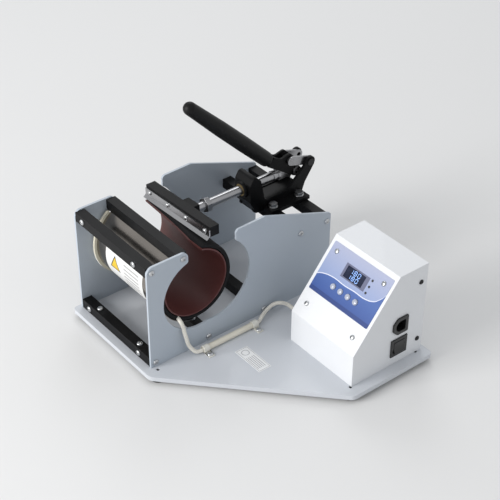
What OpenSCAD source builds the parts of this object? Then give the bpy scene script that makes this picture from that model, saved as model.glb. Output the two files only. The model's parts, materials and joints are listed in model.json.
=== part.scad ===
// Mug heat press: a sheet-metal frame with a wrap-round heating mat, a push-pull toggle
// clamp that closes the mat round the mug, and a control box, all on one base plate.
// Millimetres. +X is the control box's side, -Y is the operator's side, +Z is up.
// The origin is on the table under the middle of the base plate.

/* [Base plate] */
// Width of the base plate
base_w = 342; // [325:1:430]
// Depth of the base plate
base_d = 294; // [290:1:380]
// Thickness of the base plate's sheet
base_t = 2; // [1.5:0.5:3]
// Height of the folded rim round the base plate
rim_h = 6; // [5:0.5:9]
// How much of the front edge is straight before the slanted corner
straight_front = 167; // [150:1:200]
// How much of the right edge is straight behind the slanted corner
straight_right = 127; // [122:1:145]
// Diameter of a rubber foot
foot_d = 24; // [16:1:28]
// Height of a rubber foot below the sheet
foot_h = 10; // [9:0.5:16]

/* [Side plates] */
// Clear gap between the two side plates
plate_gap = 146; // [142:1:150]
// Thickness of a side plate
plate_t = 3; // [2:0.5:4]
// Height of a side plate
plate_h = 146; // [140:1:175]
// Depth of a side plate
plate_d = 278; // [270:1:282]
// Side of the square cross bars
bar_s = 13; // [10:0.5:14]

/* [Heating mat] */
// Inside radius of the open mat
loop_r = 43.5; // [38:0.5:53]
// Thickness of the silicone heating layer
silicone_t = 2.5; // [2:0.5:3]
// Thickness of the foam layer behind it
foam_t = 6; // [5:0.5:7.5]
// Width of the mat along the mug
mat_w = 132; // [108:1:138]
// Thickness of the steel shell
shell_t = 0.8; // [0.6:0.1:1.2]

/* [Toggle clamp] */
// Diameter of the push rod
rod_d = 12; // [8:0.5:12]
// Diameter of the toggle's pins
pin_d = 6; // [5:0.5:7]
// Distance between the two pins of the lever
arm_l = 21; // [19:0.5:23]
// Angle of the open handle above level
handle_tilt = 44.5; // [40:0.5:50]
// Length of the lever along the grip, from its lower pin to the tip
handle_l = 220; // [185:1:270]
// Length of the grip
grip_l = 171; // [120:1:172]
// Thickness of the grip
grip_d = 20; // [16:0.5:20.5]

/* [Control box] */
// Width of the control box
box_w = 110; // [105:1:125]
// Depth of the control box
box_d = 112; // [105:1:116]
// Height of the control box
box_h = 129; // [122:1:155]
// Height of the upright lower front
box_front_h = 45; // [36:1:50]
// Depth of the level top
box_top_d = 45; // [38:1:50]
// Thickness of the box's sheet
box_t = 1.5; // [1:0.5:2]
// Diameter of a push button
button_d = 7.5; // [6:0.5:8.5]
// Distance between two push buttons
button_pitch = 12.8; // [11:0.1:14]
// How far a button goes in
button_travel = 0.8; // [0.4:0.1:1]

/* [Lead] */
// Diameter of the heater lead
lead_d = 5; // [4:0.5:5]

/* [Hidden] */
$fn = 64;

// Fits
slip = 0.05;      // radial clearance of a pin or rod that turns or slides
gap = 0.4;        // clearance between plates that pass each other
hole_gap = 0.2;   // radial clearance of a screw in a sheet

// Heights
base_z = foot_h + base_t;             // top of the base plate
plate_top = base_z + plate_h;         // top edge of the side plates

// The press stands at the left of the base plate
plate_edge = 4;                       // base plate left of the left side plate
press_x = -base_w / 2 + plate_edge + plate_t + plate_gap / 2;
left_in = press_x - plate_gap / 2;    // inner face of the left side plate
right_in = press_x + plate_gap / 2;   // inner face of the right side plate
right_out = right_in + plate_t;
ear_overhang = 20;                    // the clamp's ears stand out behind the base plate
base_rear = (base_d - ear_overhang) / 2;
base_front = base_rear - base_d;
front_y = base_front + 10.5;          // front edge of the side plates
rear_y = front_y + plate_d;           // rear edge of the side plates

// The mat
mat_y = front_y + 75.5;
mat_z = plate_top - 59.5;
silicone_r = loop_r + silicone_t;
foam_r = silicone_r + foam_t;
shell_r = foam_r + shell_t;
rear_end_angle = 61;                  // rear end of the mat, from +Y towards +Z
shell_end_angle = 265;                // lower end of the shell, from +Y

// Cross bars, as [y, z] of their centres
bar_drop = 8;                         // a top bar's centre below the top edge
top_bar_z = plate_top - bar_drop;
low_bar_z = base_z + bar_s / 2;
clamp_bar_z = plate_top - 49.5;
front_top_at = [front_y + 0.5 + bar_s / 2, top_bar_z];
inner_top_at = [mat_y - 24.3, top_bar_z];
front_bottom_at = [front_y + 0.5 + bar_s / 2, low_bar_z];
middle_bottom_at = [front_y + 85.7, low_bar_z];
rear_bottom_at = [front_y + 171.8, low_bar_z];
clamp_front_at = [rear_y - 48.8, clamp_bar_z];
clamp_rear_at = [rear_y - 6.2, clamp_bar_z];
bar_at = [front_top_at, inner_top_at, front_bottom_at, middle_bottom_at,
          rear_bottom_at, clamp_front_at, clamp_rear_at];
inner_bar_bottom = top_bar_z - bar_s / 2;
inner_bar_rear = inner_top_at[0] + bar_s / 2;
// The mat's front end points at the inner bar's lower rear edge, from +Y
front_end_angle = atan2(inner_bar_bottom - mat_z, inner_bar_rear - mat_y);

// Toggle geometry in the plane across the machine, as [y, z]
rod_z = mat_z + foam_r - 3;
clamp_top = clamp_bar_z + bar_s / 2;  // top of the two clamp bars
rod_pin = [clamp_rear_at[0] + 6.7, rod_z];
lever_dir = [-cos(handle_tilt), sin(handle_tilt)];
arm_tilt = handle_tilt + 15.5;        // the arm's pin stands above the lever's middle line
grip_drop = 10;                       // the grip's axis runs below the lower pin
arm_pin = rod_pin + arm_l * [-cos(arm_tilt), sin(arm_tilt)];
ear_pin = [clamp_rear_at[0] + 23.2, rod_z + 9.5];
link_v = ear_pin - arm_pin;
link_l = norm(link_v);
link_dir = link_v / link_l;
barrel_l = 16.5;
barrel_y = clamp_front_at[0] - 35.2;  // front end of the clamp's barrel
barrel_r = 11;
bush_r = rod_d / 2 + 2;
tongue_w = 8;                         // the rod's flat end
fork_in = tongue_w / 2 + gap - 0.1;   // inner face of the lever's fork, from the middle
fork_t = 3;
fork_out = fork_in + fork_t;
link_t = 3;
link_in = fork_out + gap;             // inner face of a link, from the middle
ear_in = link_in + link_t + gap;      // inner face of an ear, from the middle
ear_t = 4;
ear_out = ear_in + ear_t;

// Pusher
pusher_z = mat_z + foam_r + bar_s / 2;
pusher_y = mat_y + 29.8;
strip_t = 1.5;
strip_y = pusher_y - bar_s / 2 - strip_t;
block_l = 12;
block_y = pusher_y + bar_s / 2;
rod_front = block_y + 2;
pusher_l = mat_w - 2;
pusher_tilt = 2.75;                   // the bar hangs lower at its left end

// Control box
box_x = base_w / 2 - 15 - box_w;
box_y = base_rear - 6.5 - box_d;
slope_run = box_d - box_top_d;
slope_rise = box_h - box_front_h;
slope_a = atan2(slope_rise, slope_run);
slope_l = norm([slope_run, slope_rise]);
label_t = 0.4;
panel_u = (box_w - 102) / 2 + 0.5;    // left edge of the label on the slope
panel_v = slope_l - 72;               // lower edge of the label on the slope
panel_w = 101.5;
panel_h = 65;
window_at = [panel_u + 34.6, panel_v + 34.7];
window_size = [30.6, 14.8];
led_u = panel_u + 75;
led_v = [panel_v + 33.8, panel_v + 42, panel_v + 50.2];
button_v = panel_v + 17.8;
button_u = panel_u + 50 - 1.5 * button_pitch;
panel_screw_at = [for (u = [14, box_w - 15], v = [18, slope_l - 17]) [u, v]];
board_w = 6;                          // control board's face below the sheet
switch_at = [box_y + 72.7, base_z + 25.2];
switch_size = [25.5, 25];
inlet_at = [box_y + 73, base_z + 56];
side_screw_at = [[box_d - 8, 20.5], [box_d - 10, 106]];

// The heater lead's route: out of the mat, over the side plate's edge, down to the base
// plate, through the sleeve and across to the control box
exit_angle = 236;
exit_at = [mat_y, mat_z] + (silicone_r + foam_t / 2) * [cos(exit_angle), sin(exit_angle)];
lead_z = base_z + 4;
sleeve_x = right_out + 14;
sleeve_y = [front_y + 66, front_y + 149];
clip_y = [sleeve_y[0] + 4, sleeve_y[1] - 4];
clip_screw_x = sleeve_x + 9.5;
grommet_at = [box_y + 51.5, base_z + 12];
lead_route = concat(
  [for (p = [[-13, 0, 0], [-9, 0, 0], [-3.5, -0.6, -1.5], [1.5, -1.2, -5], [5, -1.6, -12]])
    [right_out + p[0], exit_at[0] + p[1], exit_at[1] + p[2]]],
  [for (p = [[6.5, -12, 25], [7, -10, 16], [9, -7, 9.5], [12.4, -3, 4.9], [14, 3, 4],
             [14, 10, 4], [14, 33, 4], [14, 53, 4], [14, 73, 4], [14, 90, 4], [12.8, 95, 4.8],
             [9, 102.5, 6], [5.8, 111, 7.5], [5.6, 122, 11.5], [10.5, 130, 13.5]])
    [right_out + p[0], front_y + 60 + p[1], base_z + p[2]]],
  [for (p = [[-46, 32.5, 10], [-37, 36.5, 6.5], [-26, 43, 5.5], [-13, 49, 8.5], [-4, 51.3, 11.6],
             [6, 51.7, 12]])
    [box_x + p[0], box_y + p[1], base_z + p[2]]]);
foot_in = foot_d / 2 + 3;
foot_at = [[-base_w / 2 + foot_in, base_front + foot_in],
           [-base_w / 2 + straight_front - 5, base_front + foot_in + 1],
           [base_w / 2 - foot_in - 0.5, base_rear - straight_right + 7.5],
           [base_w / 2 - foot_in, base_rear - foot_in],
           [-base_w / 2 + foot_in, base_rear - foot_in]];

foot_seat = 3.5;                      // a foot's screw head sits in a recess from below
screw_r = 2;                          // M4
head_r = 3.8;
head_h = 2.4;

// ---------------------------------------------------------------- shared shapes

// Points of the corner b between a and c, rounded to radius r
function round_corner(a, b, c, r, n = 8) =
  let (u = (a - b) / norm(a - b), v = (c - b) / norm(c - b), h = acos(u * v) / 2,
       m = b + (u + v) / norm(u + v) * r / sin(h), s = b + u * r / tan(h) - m,
       e = b + v * r / tan(h) - m, w = 180 - 2 * h)
  [for (i = [0:n]) m + (s * sin(w * (1 - i / n)) + e * sin(w * i / n)) / sin(w)];

// A closed outline from corners given as [x, y, radius]
function rounded(p) = [
  for (i = [0:len(p) - 1])
    let (k = len(p), a = p[(i + k - 1) % k], b = p[i], c = p[(i + 1) % k])
    each (b[2] == 0 ? [[b[0], b[1]]]
          : round_corner([a[0], a[1]], [b[0], b[1]], [c[0], c[1]], b[2]))
];

// Extrudes a [y, z] outline along X from x0
module along_x(x0, l) translate([x0, 0, 0]) rotate([90, 0, 90]) linear_extrude(l) children();

module cylinder_x(r, l) rotate([0, 90, 0]) cylinder(r = r, h = l);

module cylinder_y(r, l) rotate([-90, 0, 0]) cylinder(r = r, h = l);

// A slice of the plane, as a fan of points from angle a0 to a1 round the centre
module fan(r, a0, a1) {
  steps = 12;
  polygon(concat([[0, 0]], [for (i = [0:steps])
    let (a = a0 + (a1 - a0) * i / steps) r * [cos(a), sin(a)]]));
}

// Part of a ring between two angles
module ring_part(r0, r1, a0, a1) intersection() {
  difference() {
    circle(r1, $fn = 128);
    circle(r0, $fn = 128);
  }
  fan(r1 * 1.5, a0, a1);
}

// Pan-head screw with a cross recess: head up, seat at z = 0, shank below
module screw(l, r = screw_r, hr = head_r, hh = head_h) difference() {
  union() {
    translate([0, 0, -l]) cylinder(r = r, h = l + 0.1, $fn = 32);
    rotate_extrude($fn = 32)
      polygon([[0, 0], [hr, 0], [hr, hh * 0.35], [hr * 0.88, hh * 0.7],
               [hr * 0.6, hh * 0.93], [0, hh]]);
  }
  for (a = [0, 90]) rotate([0, 0, a])
    translate([-hr * 0.55, -0.4, hh * 0.5]) cube([hr * 1.1, 0.8, hh]);
}

// A strip with round ends between two points
module bar_between(a, b, r) {
  t = atan2(b[1] - a[1], b[0] - a[0]);
  steps = 18;
  polygon(concat(
    [for (i = [0:steps]) let (k = t - 90 + 180 * i / steps) b + r * [cos(k), sin(k)]],
    [for (i = [0:steps]) let (k = t + 90 + 180 * i / steps) a + r * [cos(k), sin(k)]]));
}

// Places children on the sloping front of the control box: x right, y up the slope, z out
module on_slope(p, w = 0) translate([box_x, box_y, base_z + box_front_h])
  rotate([slope_a, 0, 0]) translate([p[0], p[1], w]) children();

// ---------------------------------------------------------------- base

function base_corners(d) =
  let (w = base_w / 2 - d, f = base_front + d, b = base_rear - d,
       x = -base_w / 2 + straight_front, y = base_rear - straight_right,
       a = atan2(y - base_front, base_w / 2 - x))
  [[-w, f, 5 - d], [x - d * tan(a / 2), f, 14 - d], [w, y + d * tan(45 - a / 2), 9 - d],
   [w, b, 5 - d], [-w, b, 5 - d]];

module base_plate() color("lightsteelblue") difference() {
  translate([0, 0, base_z - rim_h]) linear_extrude(rim_h) polygon(rounded(base_corners(0)));
  translate([0, 0, base_z - rim_h - 1]) linear_extrude(rim_h - base_t + 1)
    polygon(rounded(base_corners(base_t)));
  for (p = foot_at) translate([p[0], p[1], 0]) cylinder(r = screw_r + hole_gap, h = base_z + 1);
  for (y = clip_y) translate([clip_screw_x, y, 0])
    cylinder(r = screw_r + hole_gap, h = base_z + 1);
  for (p = base_screw_at) translate([p[0], p[1], 0])
    cylinder(r = screw_r + hole_gap, h = base_z + 1);
}

module rubber_feet() color("black") for (p = foot_at) translate([p[0], p[1], 0])
  difference() {
    rotate_extrude() polygon([[0, 0], [foot_d / 2 - 2.5, 0], [foot_d / 2 - 1, 0.8],
      [foot_d / 2, foot_h], [0, foot_h]]);
    translate([0, 0, -1]) cylinder(r = screw_r, h = foot_h + 2);
    translate([0, 0, -1]) cylinder(r = head_r + 0.6, h = foot_seat + 1);
  }

module foot_screws() color("silver") for (p = foot_at)
  translate([p[0], p[1], foot_seat]) rotate([180, 0, 0]) screw(base_z - foot_seat);

// ---------------------------------------------------------------- press frame

module side_profile() {
  horn_y = mat_y - 17.3;
  lobe_y = mat_y + 52.7;
  shoulder_y = front_y + 172;
  difference() {
    polygon(rounded([
      [front_y, base_z, 1], [front_y, plate_top, 9], [horn_y, plate_top, 8.5],
      [horn_y, inner_bar_bottom - 2.5, 5], [mat_y - 26, mat_z + 38, 0],
      [mat_y, mat_z, 0], [mat_y + 22, mat_z + 8, 0], [mat_y + 42, mat_z + 30, 0],
      [lobe_y, mat_z + 41.5, 0], [lobe_y, plate_top - 1.3, 5], [shoulder_y, plate_top, 8],
      [rear_y, plate_top - 39, 4], [rear_y, base_z, 1]
    ]));
    translate([mat_y - 3, mat_z - 5.5]) circle(loop_r + 7.5, $fn = 128);
    translate([mat_y + 17.5, mat_z + 0.5]) circle(loop_r + 12.5, $fn = 128);
    for (p = bar_at) translate(p) circle(screw_r + hole_gap, $fn = 32);
  }
}

module left_side_plate() color("lightsteelblue") along_x(left_in - plate_t, plate_t) side_profile();

module right_side_plate() color("lightsteelblue") along_x(right_in, plate_t) side_profile();

// A square cross bar between the side plates, with a tapped hole in each end
module cross_bar(at) color([0.08, 0.08, 0.09]) difference() {
  along_x(left_in, plate_gap) translate(at - [bar_s, bar_s] / 2) square(bar_s);
  for (x = [left_in - 1, right_in - 11]) translate([x, at[0], at[1]]) cylinder_x(screw_r, 12);
  children();
}

face_screw_x = [left_in + 15, right_in - 24];

module face_holes(at) for (x = face_screw_x)
  translate([x, at[0] - bar_s / 2 - 1, at[1]]) cylinder_y(screw_r, 10);

base_screw_x = [left_in + 30, right_in - 30];
base_screw_at = [for (x = base_screw_x,
  at = [front_bottom_at, middle_bottom_at, rear_bottom_at]) [x, at[0]]];

module base_holes(at) for (x = base_screw_x)
  translate([x, at[0], base_z - 1]) cylinder(r = screw_r + hole_gap, h = bar_s + 2);

module front_top_bar() cross_bar(front_top_at) face_holes(front_top_at);

module inner_top_bar() cross_bar(inner_top_at) for (x = shell_screw_x)
  translate([x, shell_screw_y, inner_bar_bottom - 1]) cylinder(r = 1.5, h = 7);

module front_bottom_bar() cross_bar(front_bottom_at) {
  face_holes(front_bottom_at);
  base_holes(front_bottom_at);
}

module middle_bottom_bar() cross_bar(middle_bottom_at) base_holes(middle_bottom_at);

module rear_bottom_bar() cross_bar(rear_bottom_at) base_holes(rear_bottom_at);

module clamp_bar_holes(at) for (s = [-1, 1])
  translate([press_x + s * clamp_bolt_x, at[0], clamp_top - 9]) cylinder(r = 3, h = 10);

module clamp_bar_front() cross_bar(clamp_front_at) clamp_bar_holes(clamp_front_at);

module clamp_bar_rear() cross_bar(clamp_rear_at) clamp_bar_holes(clamp_rear_at);

module frame_screws() color("silver") {
  for (p = bar_at) {
    translate([right_out, p[0], p[1]]) rotate([0, 90, 0]) screw(plate_t + 8);
    translate([left_in - plate_t, p[0], p[1]]) rotate([0, -90, 0]) screw(plate_t + 8);
  }
  for (x = face_screw_x, at = [front_top_at, front_bottom_at])
    translate([x, at[0] - bar_s / 2, at[1]]) rotate([90, 0, 0]) screw(8);
}

module bar_base_screws() color("silver") for (p = base_screw_at)
  translate([p[0], p[1], base_z + bar_s]) screw(bar_s + base_t + 1);

// ---------------------------------------------------------------- heating mat

mat_x = press_x - mat_w / 2;
shell_screw_x = [press_x - 45, press_x, press_x + 45];
// The shell ends in a level tab under the inner bar
tab_y = mat_y - sqrt(pow(shell_r, 2) - pow(inner_bar_bottom - mat_z, 2));
shell_screw_y = inner_bar_rear - 4.2;
// The foam starts below the heads of the shell's screws
foam_end_angle = 180 - asin((inner_bar_bottom - shell_t - 1.8 - mat_z) / foam_r);

// The part of the plane below the inner bar
module below_bar(d = 0) translate([mat_y - 80, mat_z - 80])
  square([160, 80 + inner_bar_bottom - mat_z - d]);

module heat_shell() color("dimgray") difference() {
  along_x(mat_x, mat_w) union() {
    intersection() {
      translate([mat_y, mat_z]) ring_part(foam_r, shell_r, front_end_angle, shell_end_angle);
      below_bar();
      translate([mat_y - 80, mat_z - 80]) square([80 - (mat_y - tab_y) + 0.4, 160]);
    }
    intersection() {
      translate([mat_y, mat_z]) ring_part(foam_r, shell_r, 180, shell_end_angle);
      translate([mat_y - 80, mat_z - 80]) square([160, 80]);
    }
    translate([tab_y, inner_bar_bottom - shell_t]) square([inner_bar_rear - 0.5 - tab_y, shell_t]);
  }
  for (x = shell_screw_x) translate([x, shell_screw_y, inner_bar_bottom - 3])
    cylinder(r = 1.5 + hole_gap, h = 4);
}

module shell_end_ring() color("ivory") along_x(mat_x - 3, 3) intersection() {
  translate([mat_y, mat_z]) ring_part(foam_r - 2, shell_r + 3.5, foam_end_angle, shell_end_angle);
  below_bar(0.2);
}

module shell_screws() color("silver") for (x = shell_screw_x)
  translate([x, shell_screw_y, inner_bar_bottom - shell_t]) rotate([180, 0, 0])
    screw(shell_t + 5, 1.5, 2.6, 1.6);

label_x = [mat_x + 20, mat_x + mat_w - 35];

module warning_label() color("white") along_x(label_x[0], label_x[1] - label_x[0])
  translate([mat_y, mat_z]) ring_part(shell_r, shell_r + 0.2, 165, 215);

module mat_silicone() color([0.36, 0.16, 0.15]) along_x(mat_x, mat_w) intersection() {
  translate([mat_y, mat_z]) ring_part(loop_r, silicone_r, front_end_angle, 360 + rear_end_angle);
  union() {
    below_bar(3);
    translate([mat_y - 10, mat_z]) square([90, 90]);
  }
}

module mat_foam() color([0.1, 0.1, 0.11]) difference() {
  along_x(mat_x, mat_w)
    translate([mat_y, mat_z]) ring_part(silicone_r, foam_r, foam_end_angle, 360 + rear_end_angle);
  translate([right_in - 11.5, exit_at[0], exit_at[1]]) cylinder_x(lead_d / 2 + 0.3, 12);
}

// ---------------------------------------------------------------- lead

function along(p, t) =
  let (i = min(floor(t), len(p) - 2), f = t - i,
       a = p[max(i - 1, 0)], b = p[i], c = p[i + 1], d = p[min(i + 2, len(p) - 1)])
  0.5 * (2 * b + (c - a) * f + (2 * a - 5 * b + 4 * c - d) * f * f
         + (3 * b - a - 3 * c + d) * f * f * f);

// A tube swept along a route, with 8 sides
module tube(p, r, rings) {
  sides = 8;
  n = rings - 1;
  c = [for (i = [0:n]) along(p, (len(p) - 1) * i / n)];
  t = [for (i = [0:n]) let (d = c[min(i + 1, n)] - c[max(i - 1, 0)]) d / norm(d)];
  ref = [0.35, 0.2, 0.9];
  u = [for (d = t) cross(d, ref) / norm(cross(d, ref))];
  points = [for (i = [0:n], k = [0:sides - 1])
    c[i] + r * (u[i] * cos(360 * k / sides) + cross(t[i], u[i]) * sin(360 * k / sides))];
  faces = concat(
    [for (i = [0:n - 1], k = [0:sides - 1])
      let (a = i * sides + k, b = i * sides + (k + 1) % sides) [a, b, b + sides, a + sides]],
    [[for (k = [0:sides - 1]) sides - 1 - k], [for (k = [0:sides - 1]) n * sides + k]]);
  polyhedron(points, [for (f = faces) [for (i = [len(f) - 1:-1:0]) f[i]]]);
}

module heater_lead() color("ivory") tube(lead_route, lead_d / 2, 60);

module lead_sleeve() color("beige") translate([sleeve_x, sleeve_y[0], lead_z]) difference() {
  cylinder_y(lead_d / 2 + 1.3, sleeve_y[1] - sleeve_y[0]);
  translate([0, -1, 0]) cylinder_y(lead_d / 2 + 0.5, sleeve_y[1] - sleeve_y[0] + 2);
}

// A clip bends over the sleeve and is screwed down beside it
module lead_clips() color("whitesmoke") for (y = clip_y) translate([0, y - 4, 0]) difference() {
  r = lead_d / 2 + 1.3;
  union() {
    translate([sleeve_x, 0, lead_z]) cylinder_y(r + 1.2, 8);
    translate([sleeve_x, 0, base_z]) cube([clip_screw_x - sleeve_x + 4.5, 8, 1.2]);
    translate([sleeve_x - r - 1.2, 0, base_z]) cube([r + 1.2, 8, lead_z - base_z]);
  }
  translate([sleeve_x, -1, lead_z]) cylinder_y(r, 10);
  translate([sleeve_x - r, -1, base_z - 5]) cube([2 * r, 10, 5 + lead_z - base_z]);
  translate([sleeve_x - 20, -1, base_z - 10]) cube([60, 10, 10]);
  translate([clip_screw_x, 4, base_z - 1]) cylinder(r = screw_r + hole_gap, h = 4, $fn = 32);
}

module clip_screws() color("silver") for (y = clip_y)
  translate([clip_screw_x, y, base_z + 1.2]) screw(base_t + 4);

rating_at = [right_out + 37.5, front_y + 96.5];

module rating_label() color("white") translate([rating_at[0], rating_at[1], base_z]) cube([47, 18.5, 0.2]);

// ---------------------------------------------------------------- toggle clamp

clamp_bolt_x = 22;

// A casting: a flange on the two bars, a nose that guides the rod, and two low side walls
// that rise at the rear to the ears, which carry the links' rear pivot
module clamp_body() color([0.1, 0.1, 0.1]) difference() {
  floor_z = clamp_top + 12.5;
  nose_top = rod_z + 19;
  nose_rear = barrel_y + barrel_l;
  flange_y = [clamp_front_at[0] - 10, clamp_rear_at[0] + 10];
  union() {
    translate([press_x - 31, flange_y[0], clamp_top])
      cube([62, flange_y[1] - flange_y[0], 5]);
    translate([press_x - ear_out, nose_rear - 3, clamp_top])
      cube([2 * ear_out, flange_y[1] - nose_rear + 3, floor_z - clamp_top]);
    along_x(press_x - ear_out, 2 * ear_out) polygon(rounded([
      [nose_rear, clamp_top, 0], [nose_rear, nose_top, 3], [barrel_y + 9, nose_top, 5],
      [barrel_y + 4, rod_z + 10, 4], [barrel_y + 4, rod_z - 14, 4],
      [barrel_y + 14, clamp_top, 0]]));
    translate([press_x, barrel_y, rod_z]) cylinder_y(barrel_r, barrel_l);
    for (s = [-1, 1]) along_x(press_x + s * (ear_in + ear_t / 2) - ear_t / 2, ear_t) {
      translate(ear_pin) circle(7.5);
      polygon(rounded([
        [nose_rear - 6, clamp_top + 2, 0], [nose_rear - 6, nose_top - 4, 3],
        [nose_rear + 4, nose_top - 4, 5], [nose_rear + 11, floor_z + 1.5, 5],
        [clamp_rear_at[0] - 12, floor_z + 1.5, 8], [ear_pin[0] - 9, ear_pin[1] - 3, 5],
        [ear_pin[0] - 7, ear_pin[1] + 3.5, 2], [ear_pin[0] + 7.6, ear_pin[1] - 3, 2],
        [clamp_rear_at[0] + 15, rod_z - 17, 3], [clamp_rear_at[0] + 10, clamp_top + 2, 0]]));
    }
  }
  // Bore for the rod's bush
  translate([press_x, barrel_y - 1, rod_z]) cylinder_y(bush_r, barrel_l + 2);
  for (s = [-1, 1], at = [clamp_front_at, clamp_rear_at])
    translate([press_x + s * clamp_bolt_x, at[0], clamp_top - 1]) cylinder(r = 3.3, h = 8);
  for (s = [-1, 1]) translate([press_x + s * (ear_in + ear_t / 2) - ear_t / 2 - 1,
    ear_pin[0], ear_pin[1]]) cylinder_x(pin_d / 2, ear_t + 2);
}

module rod_bush() color("darkgoldenrod") translate([press_x, barrel_y, rod_z]) difference() {
  cylinder_y(bush_r, barrel_l);
  translate([0, -1, 0]) cylinder_y(rod_d / 2 + slip, barrel_l + 2);
}

module clamp_bolts() color("silver") for (s = [-1, 1], at = [clamp_front_at, clamp_rear_at])
  translate([press_x + s * clamp_bolt_x, at[0], clamp_top + 5]) {
    cylinder(r = 6, h = 1.4, $fn = 40);
    translate([0, 0, -13]) cylinder(r = 3, h = 14, $fn = 40);
    translate([0, 0, 1.3]) cylinder(r = 5.6, h = 4, $fn = 6);
  }

// Short rivets in the ears: the links' rear pivot is left open between them
module ear_rivets() color("silver") for (s = [-1, 1]) translate([press_x, ear_pin[0], ear_pin[1]])
  rotate([0, s * 90, 0]) {
    translate([0, 0, ear_in]) cylinder(r = pin_d / 2, h = ear_t + 0.1);
    translate([0, 0, ear_out]) cylinder(r = pin_d / 2 + 1.8, h = 1.6);
  }

collar_y = rod_pin[0] - 34.5;         // clears the bush with the mat closed
collar_l = 10;

// The rod, with a grooved collar and a flat end between the lever's fork plates
module push_rod() color("silver") difference() {
  union() {
    translate([press_x, rod_front, rod_z]) cylinder_y(rod_d / 2, collar_y - rod_front + 1);
    translate([press_x, collar_y, rod_z]) cylinder_y(6.3, collar_l);
    for (y = [0, collar_l - 3]) translate([press_x, collar_y + y, rod_z]) cylinder_y(7, 3);
    along_x(press_x - tongue_w / 2, tongue_w) {
      translate([collar_y + collar_l - 1, rod_z - 7])
        square([rod_pin[0] - collar_y - collar_l + 1, 13.5]);
      translate(rod_pin) circle(7);
    }
  }
  translate([press_x - tongue_w, rod_pin[0], rod_z]) cylinder_x(pin_d / 2 + slip, 2 * tongue_w);
}

// ---------------------------------------------------------------- pusher

nut_gap = 14;                         // bare rod between the block and its lock nut

// Turns the pusher about the rod's axis
module tilted() translate([press_x, 0, rod_z]) rotate([0, -pusher_tilt, 0])
  translate([-press_x, 0, -rod_z]) children();

module rod_end_block() color([0.12, 0.12, 0.13]) tilted() difference() {
  top = pusher_z + 3;
  translate([press_x - 11, block_y, rod_z - 8.5]) cube([22, block_l, top - rod_z + 8.5]);
  translate([press_x, rod_front, rod_z]) cylinder_y(rod_d / 2, block_l);
  for (s = [-1, 1]) translate([press_x + s * 7.4, block_y - 1, pusher_z])
    cylinder_y(screw_r, 10);
}

module rod_lock_nut() color("silver") translate([press_x, block_y + block_l + nut_gap, rod_z])
  difference() {
    rotate([-90, 30, 0]) cylinder(r = 9.8, h = 7, $fn = 6);
    translate([0, -1, 0]) cylinder_y(rod_d / 2, 9);
  }

module pusher_bar() color([0.08, 0.08, 0.09]) tilted() difference() {
  translate([press_x - pusher_l / 2, pusher_y - bar_s / 2, pusher_z - bar_s / 2])
    cube([pusher_l, bar_s, bar_s]);
  for (x = strip_screw_x) translate([x, pusher_y - bar_s / 2 - 1, strip_screw_z])
    cylinder_y(1.5, 8);
  for (s = [-1, 1]) translate([press_x + s * 7.4, pusher_y - bar_s, pusher_z])
    cylinder_y(screw_r, 2 * bar_s);
}

strip_screw_x = [for (i = [0:3]) press_x - pusher_l / 2 + 9 + i * (pusher_l - 18) / 3];
strip_screw_z = pusher_z - 1.5;
// Lower edge of the strip, over the end of the mat
strip_foot = [mat_y, mat_z] + (foam_r + 0.4) * [cos(70), sin(70)];

module mat_strip() color("silver") tilted() difference() {
  knee_z = pusher_z - bar_s / 2 + 0.6;
  strip_top = pusher_z + 3;
  along_x(press_x - pusher_l / 2, pusher_l) polygon([
    [strip_y, strip_top], [strip_y, knee_z], strip_foot,
    strip_foot + [0.4, -0.1] + [1.1, 0.9], [strip_y + strip_t, knee_z + 0.6],
    [strip_y + strip_t, strip_top]]);
  for (x = strip_screw_x) translate([x, strip_y - 1, strip_screw_z])
    cylinder_y(1.5 + hole_gap, 4);
}

module strip_screws() color("silver") tilted() for (x = strip_screw_x)
  translate([x, strip_y, strip_screw_z]) rotate([90, 0, 0]) screw(strip_t + 6, 1.5, 3.2, 2);

module block_screws() color("silver") tilted() for (s = [-1, 1])
  translate([press_x + s * 7.4, pusher_y - bar_s / 2 + 0.2, pusher_z]) rotate([-90, 0, 0])
    cylinder(r = screw_r, h = bar_s + 7);

// ---------------------------------------------------------------- handle and links

grip_start = handle_l - grip_l;
tang_w = 6;
tang_l = 56;

// A point beside the lever, u along it from its lower pin and w above its middle line
function by_lever(u, w) = rod_pin + u * lever_dir + w * [sin(handle_tilt), cos(handle_tilt)];

// A strip along the lever's middle line, which falls to the grip's axis
module lever_strip(u0, u1, h) {
  c0 = -grip_drop * u0 / grip_start;
  c1 = -grip_drop * u1 / grip_start;
  polygon([by_lever(u0, c0 - h), by_lever(u1, c1 - h), by_lever(u1, c1 + h), by_lever(u0, c0 + h)]);
}

// A cranked fork round the rod's flat end, closed by a web, with a tang inside the grip
module handle_lever() color([0.12, 0.12, 0.12]) difference() {
  web_start = 31;
  r = 7;
  u = arm_l * cos(arm_tilt - handle_tilt);
  w = arm_l * sin(arm_tilt - handle_tilt) + r;
  end = grip_start - 1;
  tang_end = grip_start + tang_l - 4;
  outline = [for (p = [[-r, -r, r - 0.2], [end, -grip_drop - r, 0], [end, -grip_drop + r, 0],
    [u + 15, 0.5, 6], [u + r + 1, w, 6], [u - r, w, r - 0.5], [-r, r - 3, r - 0.5]])
    [by_lever(p[0], p[1])[0], by_lever(p[0], p[1])[1], p[2]]];
  union() {
    for (s = [-1, 1]) along_x(press_x + s * (fork_in + fork_t / 2) - fork_t / 2, fork_t)
      polygon(rounded(outline));
    along_x(press_x - fork_in - 1, 2 * fork_in + 2) lever_strip(web_start, end - 1, r - 1);
    along_x(press_x - tang_w / 2, tang_w) polygon([for (p = [[grip_start - 6, -5],
      [tang_end, -5], [tang_end, 5], [grip_start - 6, 5]]) by_lever(p[0], p[1] - grip_drop)]);
  }
  for (p = [rod_pin, arm_pin]) translate([press_x - 10, p[0], p[1]]) cylinder_x(pin_d / 2, 20);
}

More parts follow.
